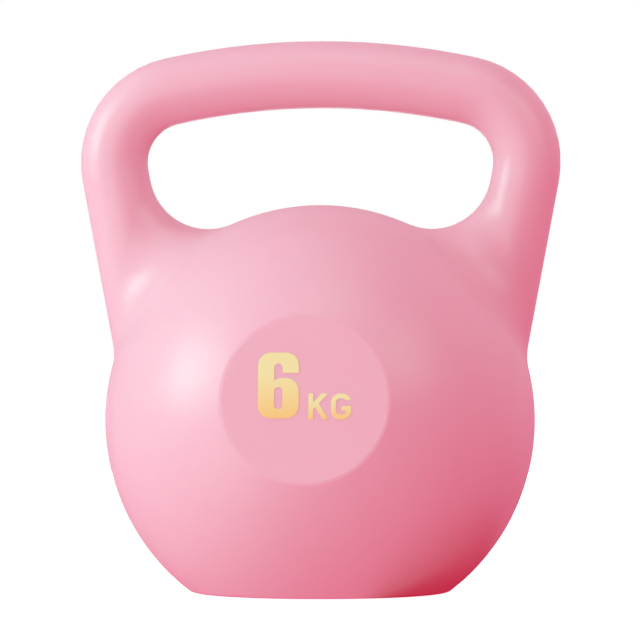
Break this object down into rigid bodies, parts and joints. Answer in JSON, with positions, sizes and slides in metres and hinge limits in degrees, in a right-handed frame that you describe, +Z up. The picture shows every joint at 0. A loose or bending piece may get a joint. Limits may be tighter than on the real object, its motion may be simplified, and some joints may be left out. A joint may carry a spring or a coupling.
{
  "type": "kettlebell",
  "caption": "Ball-shaped hand weight with an arched grip on two splayed legs, round flats front and back, and a non-slip base; a filled plastic shell with a steel core.",
  "frame": {"origin": "on the floor plane, straight below the ball's centre", "axes": "+Z up through the ball's centre and the middle of the grip; X along the grip; the marked flat faces -Y"},
  "size_m": [0.2014, 0.1732, 0.2313],
  "materials": {
    "shell_plastic": "satin pink polyethylene, blow-moulded",
    "mortar": "set cement and sand mortar, rough",
    "core_steel": "plain rolled round bar",
    "plug_plastic": "satin pink polyethylene, injection-moulded",
    "washer_rubber": "smooth black rubber",
    "pad_rubber": "matt charcoal rubber, compression-moulded",
    "adhesive": "double-sided acrylic film",
    "gold_foil": "satin gold hot-stamped foil"
  },
  "bodies": {
    "root": {"shell": "shell_plastic", "ballast": "mortar", "handle_core": "core_steel", "fill_plug": "plug_plastic", "plug_washer": "washer_rubber", "base_pad": "pad_rubber", "pad_adhesive": "adhesive", "weight_numeral": "gold_foil", "unit_letters": "gold_foil"}
  },
  "joints": []
}
